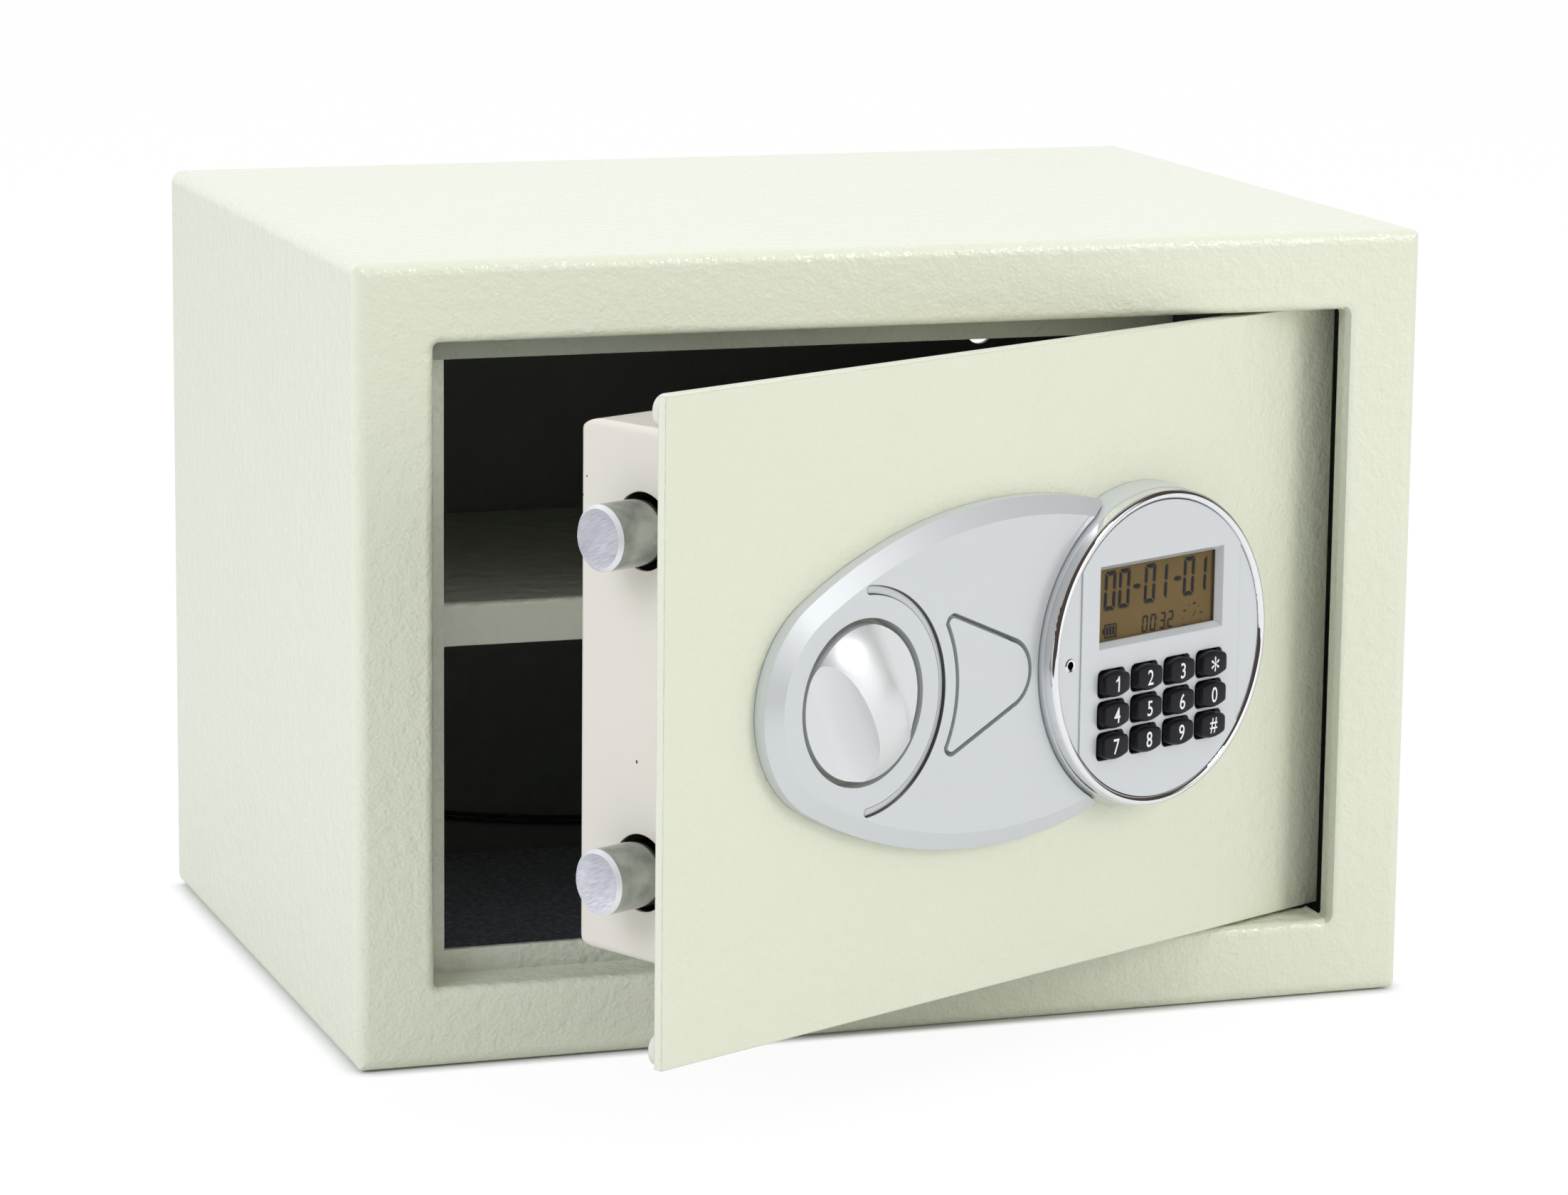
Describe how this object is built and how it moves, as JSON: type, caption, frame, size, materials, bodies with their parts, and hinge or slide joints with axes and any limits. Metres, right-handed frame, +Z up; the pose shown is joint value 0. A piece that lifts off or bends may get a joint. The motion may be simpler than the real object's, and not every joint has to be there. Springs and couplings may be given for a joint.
{
  "type": "home safe",
  "caption": "Small home safe with a recessed steel door standing ajar, an electronic keypad lock with a turning knob, round locking bolts and an inner shelf.",
  "frame": {"origin": "middle of the base's underside", "axes": "+Z up, +Y towards the back of the cabinet, +X to the right of the door as seen from the front"},
  "size_m": [0.35, 0.3592, 0.25],
  "materials": {
    "cream_paint": "cream-green powder coat with a fine orange-peel texture",
    "box_paint": "smooth pinkish cream paint",
    "felt": "dark navy felt",
    "bright_steel": "turned and zinc-plated steel",
    "silver_plastic": "satin silver moulded plastic",
    "chrome_trim": "bright chrome plating",
    "display_glass": "brown-tinted clear window",
    "display_module": "liquid-crystal module",
    "key_black": "black moulded keys with white characters",
    "black_plastic": "black moulded plastic",
    "lead_black": "glossy black sleeving",
    "cell_wrap": "plain dark shrink sleeve with bright ends",
    "board_green": "green circuit board",
    "red_plastic": "red moulded plastic",
    "lock_brass": "nickel-washed brass"
  },
  "bodies": {
    "cabinet": {"cabinet_shell": "cream_paint", "rear_panel": "cream_paint", "lip_lock_side": "cream_paint", "lip_top": "cream_paint", "lip_bottom": "cream_paint", "hinge_seats": "cream_paint", "floor_mat": "felt", "shelf_rails": "cream_paint", "lead_grommets": "black_plastic", "lead_upper": "lead_black", "lead_lower": "lead_black"},
    "shelf": {"shelf": "cream_paint"},
    "door": {"door_plate": "cream_paint", "door_straps": "box_paint", "hinge_ears": "box_paint", "hinge_pins": "bright_steel", "bolt_box": "box_paint", "box_posts": "bright_steel", "box_screws": "bright_steel", "bolt_bracket": "bright_steel", "bolt_guides": "bright_steel", "solenoid_body": "black_plastic", "battery_tray": "black_plastic", "cells": "cell_wrap", "fascia": "silver_plastic", "lock_body": "lock_brass", "keypad_housing": "silver_plastic", "keypad_ring": "chrome_trim", "keypad_face": "silver_plastic", "display_glass": "display_glass", "display_module": "display_module", "keypad_board": "board_green", "power_socket": "chrome_trim"},
    "battery_cover": {"battery_cover": "black_plastic"},
    "reset_button": {"reset_button": "red_plastic"},
    "key_cover": {"key_cover": "silver_plastic"},
    "lock_plug": {"lock_plug": "lock_brass"},
    "solenoid_pin": {"solenoid_pin": "bright_steel"},
    "knob": {"knob": "silver_plastic", "knob_spindle": "bright_steel", "knob_cam": "bright_steel"},
    "bolts": {"bolt_upper": "bright_steel", "bolt_lower": "bright_steel", "bolt_bar": "bright_steel"},
    "key_1": {"key_1": "key_black"},
    "key_2": {"key_2": "key_black"},
    "key_3": {"key_3": "key_black"},
    "key_star": {"key_star": "key_black"},
    "key_4": {"key_4": "key_black"},
    "key_5": {"key_5": "key_black"},
    "key_6": {"key_6": "key_black"},
    "key_0": {"key_0": "key_black"},
    "key_7": {"key_7": "key_black"},
    "key_8": {"key_8": "key_black"},
    "key_9": {"key_9": "key_black"},
    "key_hash": {"key_hash": "key_black"}
  },
  "joints": [
    {"name": "door_swing", "type": "hinge", "parent": "cabinet", "child": "door", "pos_m": [0.13, -0.095, 0.125], "axis": [0, 0, 1], "range_deg": [-26, 52]},
    {"name": "shelf_lift", "type": "slide", "parent": "cabinet", "child": "shelf", "axis": [0, 0, 1], "range_m": [0, 0.04]},
    {"name": "knob_turn", "type": "hinge", "parent": "door", "child": "knob", "pos_m": [-0.04476, -0.20137, 0.1257], "axis": [0.4384, -0.8988, 0], "range_deg": [0, 90]},
    {"name": "bolt_throw", "type": "slide", "parent": "door", "child": "bolts", "axis": [-0.8988, -0.4384, 0], "range_m": [0, 0.017]},
    {"name": "solenoid_pull", "type": "slide", "parent": "door", "child": "solenoid_pin", "axis": [-0.4384, 0.8988, 0], "range_m": [0, 0.006]},
    {"name": "key_cover_off", "type": "slide", "parent": "door", "child": "key_cover", "axis": [0.4384, -0.8988, 0], "range_m": [0, 0.025]},
    {"name": "lock_turn", "type": "hinge", "parent": "door", "child": "lock_plug", "pos_m": [0.00198, -0.17858, 0.1257], "axis": [0.4384, -0.8988, 0], "range_deg": [-90, 0]},
    {"name": "battery_cover_off", "type": "slide", "parent": "door", "child": "battery_cover", "axis": [-0.4384, 0.8988, 0], "range_m": [0, 0.01]},
    {"name": "reset_press", "type": "slide", "parent": "door", "child": "reset_button", "axis": [0.4384, -0.8988, 0], "range_m": [0, 0.0015], "stiffness_N_per_m": 300, "springref_m": -0.001},
    {"name": "press_1", "type": "slide", "parent": "door", "child": "key_1", "axis": [-0.4384, 0.8988, 0], "range_m": [0, 0.0015], "stiffness_N_per_m": 300, "springref_m": -0.001},
    {"name": "press_2", "type": "slide", "parent": "door", "child": "key_2", "axis": [-0.4384, 0.8988, 0], "range_m": [0, 0.0015], "stiffness_N_per_m": 300, "springref_m": -0.001},
    {"name": "press_3", "type": "slide", "parent": "door", "child": "key_3", "axis": [-0.4384, 0.8988, 0], "range_m": [0, 0.0015], "stiffness_N_per_m": 300, "springref_m": -0.001},
    {"name": "press_star", "type": "slide", "parent": "door", "child": "key_star", "axis": [-0.4384, 0.8988, 0], "range_m": [0, 0.0015], "stiffness_N_per_m": 300, "springref_m": -0.001},
    {"name": "press_4", "type": "slide", "parent": "door", "child": "key_4", "axis": [-0.4384, 0.8988, 0], "range_m": [0, 0.0015], "stiffness_N_per_m": 300, "springref_m": -0.001},
    {"name": "press_5", "type": "slide", "parent": "door", "child": "key_5", "axis": [-0.4384, 0.8988, 0], "range_m": [0, 0.0015], "stiffness_N_per_m": 300, "springref_m": -0.001},
    {"name": "press_6", "type": "slide", "parent": "door", "child": "key_6", "axis": [-0.4384, 0.8988, 0], "range_m": [0, 0.0015], "stiffness_N_per_m": 300, "springref_m": -0.001},
    {"name": "press_0", "type": "slide", "parent": "door", "child": "key_0", "axis": [-0.4384, 0.8988, 0], "range_m": [0, 0.0015], "stiffness_N_per_m": 300, "springref_m": -0.001},
    {"name": "press_7", "type": "slide", "parent": "door", "child": "key_7", "axis": [-0.4384, 0.8988, 0], "range_m": [0, 0.0015], "stiffness_N_per_m": 300, "springref_m": -0.001},
    {"name": "press_8", "type": "slide", "parent": "door", "child": "key_8", "axis": [-0.4384, 0.8988, 0], "range_m": [0, 0.0015], "stiffness_N_per_m": 300, "springref_m": -0.001},
    {"name": "press_9", "type": "slide", "parent": "door", "child": "key_9", "axis": [-0.4384, 0.8988, 0], "range_m": [0, 0.0015], "stiffness_N_per_m": 300, "springref_m": -0.001},
    {"name": "press_hash", "type": "slide", "parent": "door", "child": "key_hash", "axis": [-0.4384, 0.8988, 0], "range_m": [0, 0.0015], "stiffness_N_per_m": 300, "springref_m": -0.001}
  ],
  "couplings": [
    {"joint": "knob_turn", "follows": "bolt_throw", "rad_per_m": 92.4}
  ]
}
